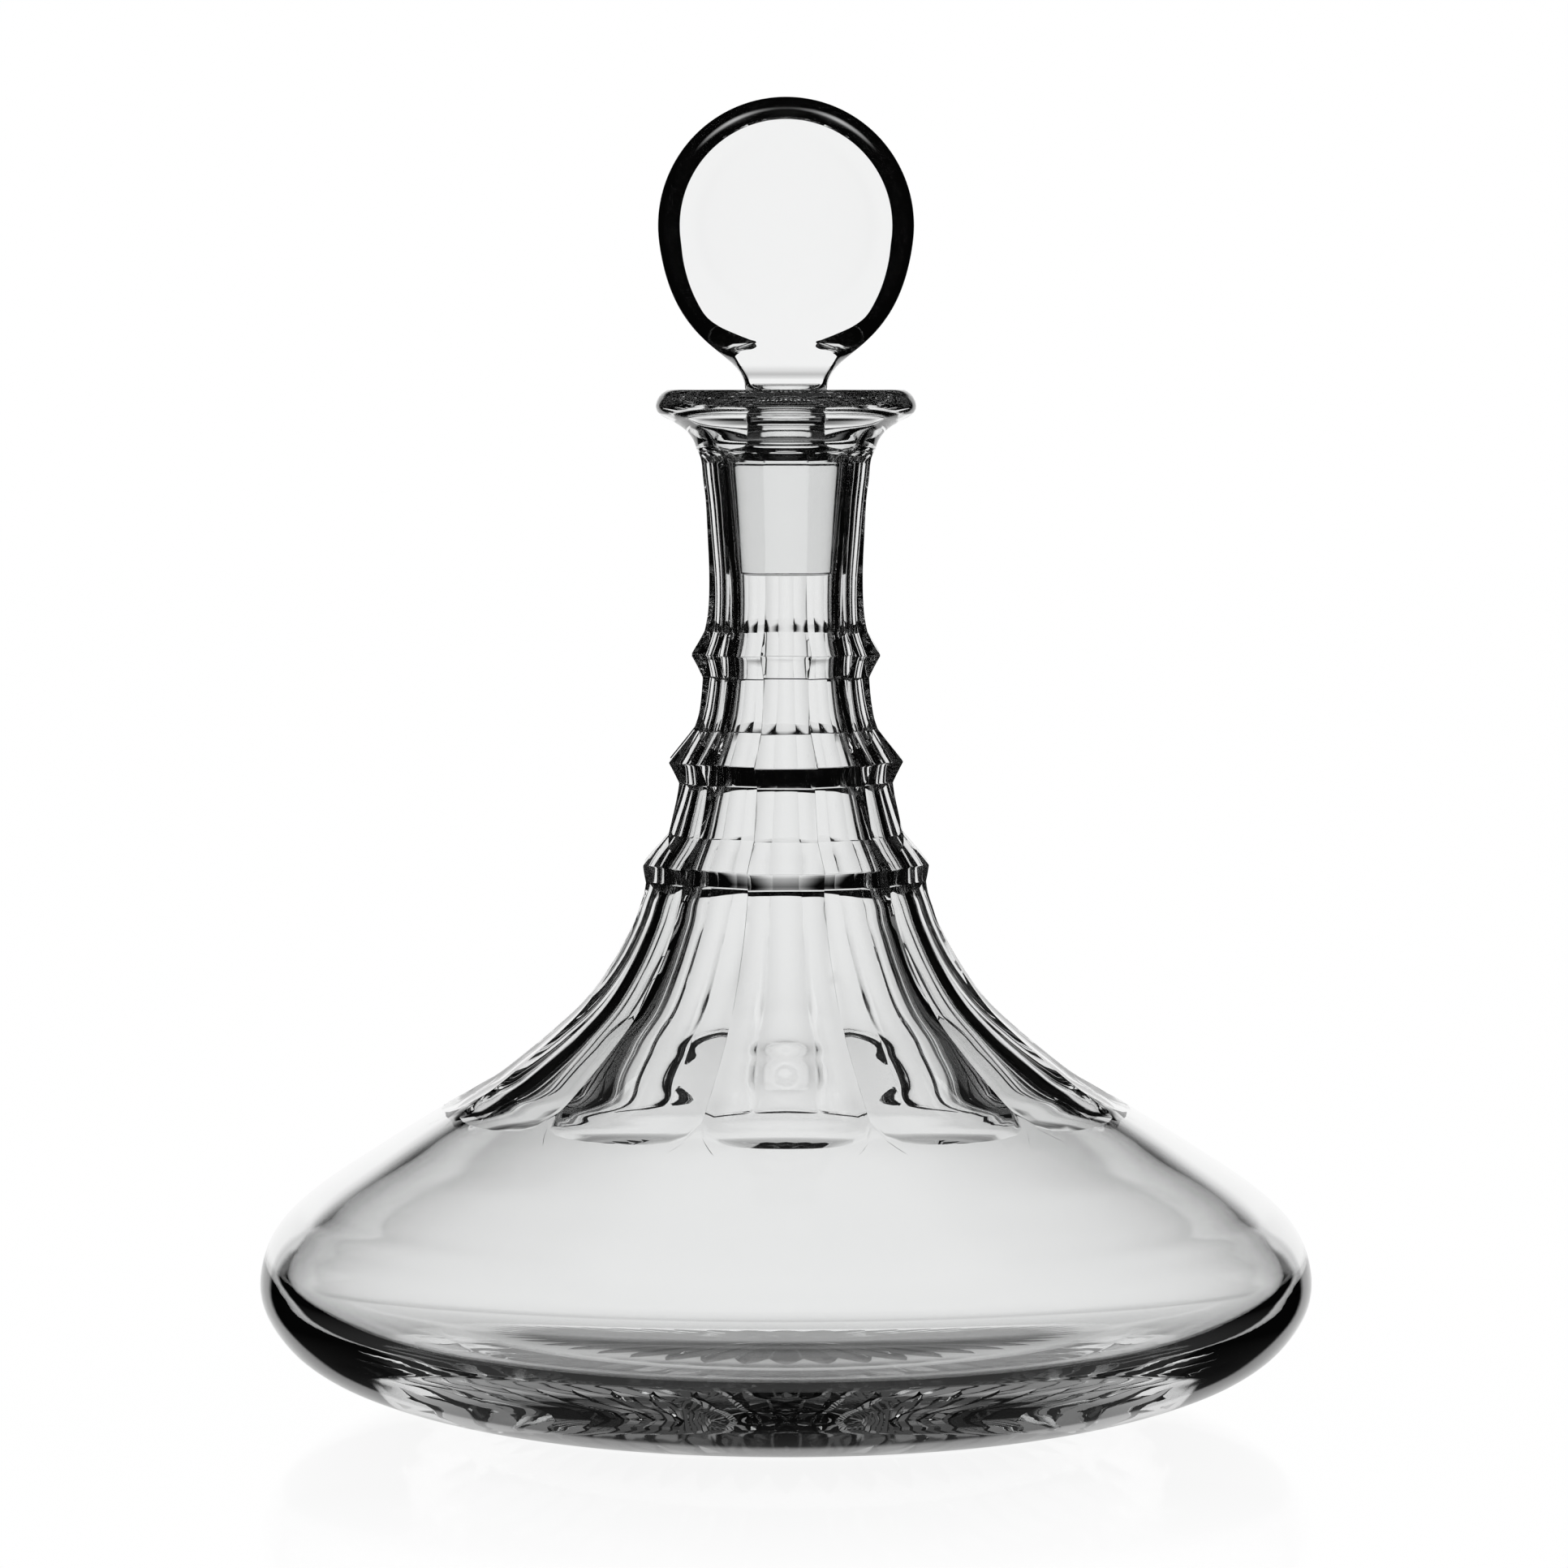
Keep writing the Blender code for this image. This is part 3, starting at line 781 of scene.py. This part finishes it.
# ---------------------------------------------------------------- glass
# Heights of the surface's unevenness, in metres
STRIAE_HEIGHT = 0.00003
STREAK_HEIGHT_BODY = 0.0000010
STREAK_HEIGHT_STOPPER = 0.0000004
SEED_HEIGHT = 0.00002
GRIND_HEIGHT = 0.0000015
SEED_SHARE_FROM = 0.86  # cells with a random value above this hold a seed
SEED_SIZE = 0.028  # as a share of a cell
# Ground surfaces, in metres
PLUG_GROUND_TOP = 0.1884
FOOT_GROUND_TOP = 0.00012
FOOT_GROUND_INNER_R = 0.0605
PLUG_ROUGHNESS = 0.035
FOOT_ROUGHNESS = 0.05


def crystal(name, plug):
    """Polished lead crystal: faint striae and polishing streaks in its surface, a few seeds, and
    the surfaces left ground: the foot ring on the body, the tapered plug on the stopper."""
    material = bpy.data.materials.new(name)
    graph = Graph(material, clear=False)
    place = graph.add("TexCoord").outputs["Object"]
    x, y, z = graph.add("SeparateXYZ", {0: place}).outputs

    striae = graph.noise(place, scale=38.0, detail=1.0)
    stretched = graph.add("Mapping", {"Vector": place, "Scale": (1.0, 1.0, 0.06)}).outputs[0]
    streaks = graph.noise(stretched, scale=260.0, detail=1.5)
    cells = graph.add("TexVoronoi", {"Vector": place, "Scale": 95.0}).outputs
    random_value = graph.add("SeparateColor", {0: cells["Color"]}).outputs[0]
    has_seed = graph.math("GREATER_THAN", random_value, SEED_SHARE_FROM)
    seed = graph.times(graph.math("LESS_THAN", cells["Distance"], SEED_SIZE), has_seed)

    streak_height = STREAK_HEIGHT_STOPPER if plug else STREAK_HEIGHT_BODY
    height = graph.plus(graph.times(striae, STRIAE_HEIGHT), graph.times(streaks, streak_height))
    height = graph.math("SUBTRACT", height, graph.times(seed, SEED_HEIGHT))
    if plug:
        ground = graph.math("LESS_THAN", z, PLUG_GROUND_TOP)
        grain = graph.noise(place, scale=2400.0, detail=2.0)
        height = graph.plus(height, graph.times(ground, grain, GRIND_HEIGHT))
        roughness = graph.times(ground, PLUG_ROUGHNESS)
    else:
        radius = graph.math("SQRT", graph.plus(graph.times(x, x), graph.times(y, y)))
        ground = graph.times(
            graph.math("LESS_THAN", z, FOOT_GROUND_TOP),
            graph.math("GREATER_THAN", radius, FOOT_GROUND_INNER_R),
        )
        roughness = graph.times(ground, FOOT_ROUGHNESS)
    bump = graph.add("Bump", {"Strength": 1.0, "Distance": 1.0, "Height": height})

    tint = graph.add("Mix", {
        "Factor": graph.noise(place, scale=22.0, detail=2.0),
        "A": (0.976, 0.982, 0.981, 1.0),
        "B": (0.994, 0.996, 0.995, 1.0),
    }, data_type="RGBA")
    graph.feed(graph.nodes["Principled BSDF"], {
        "Normal": bump.outputs[0],
        "Roughness": roughness,
        "Base Color": tint.outputs["Result"],
        "IOR": 1.54,
        "Transmission Weight": 1.0,
    })
    return material


# ---------------------------------------------------------------- camera and render
def make_camera():
    data = bpy.data.cameras.new("camera")
    data.sensor_width = 36.0
    data.lens = 144.242236
    data.clip_start = 0.05
    data.clip_end = 60.0
    camera = bpy.data.objects.new("camera", data)
    camera.location = (-0.0004, -1.250, 0.202)
    downward_tilt = 3.573
    camera.rotation_euler = (math.radians(90.0 - downward_tilt), 0.0, 0.0)
    bpy.context.scene.collection.objects.link(camera)
    bpy.context.scene.camera = camera


def set_render():
    """Plain colours, and enough bounces for light to find its way through the glass."""
    scene = bpy.context.scene
    scene.view_settings.view_transform = "Standard"
    scene.view_settings.look = "None"
    cycles = scene.cycles
    cycles.max_bounces = 32
    cycles.transmission_bounces = 32
    cycles.glossy_bounces = 16
    cycles.transparent_max_bounces = 16
    cycles.sample_clamp_indirect = 0.0
    cycles.blur_glossy = 0.0
    cycles.caustics_refractive = True
    cycles.caustics_reflective = True


def main():
    body = make_body()
    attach(body, "decanter")
    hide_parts("decanter_body")
    body.data.materials.append(crystal("cut_crystal", plug=False))

    stopper = make_stopper()
    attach(stopper, "stopper")
    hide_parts("stopper")
    stopper.data.materials.append(crystal("stopper_crystal", plug=True))

    make_floor()
    make_world()
    make_camera()
    set_render()


main()
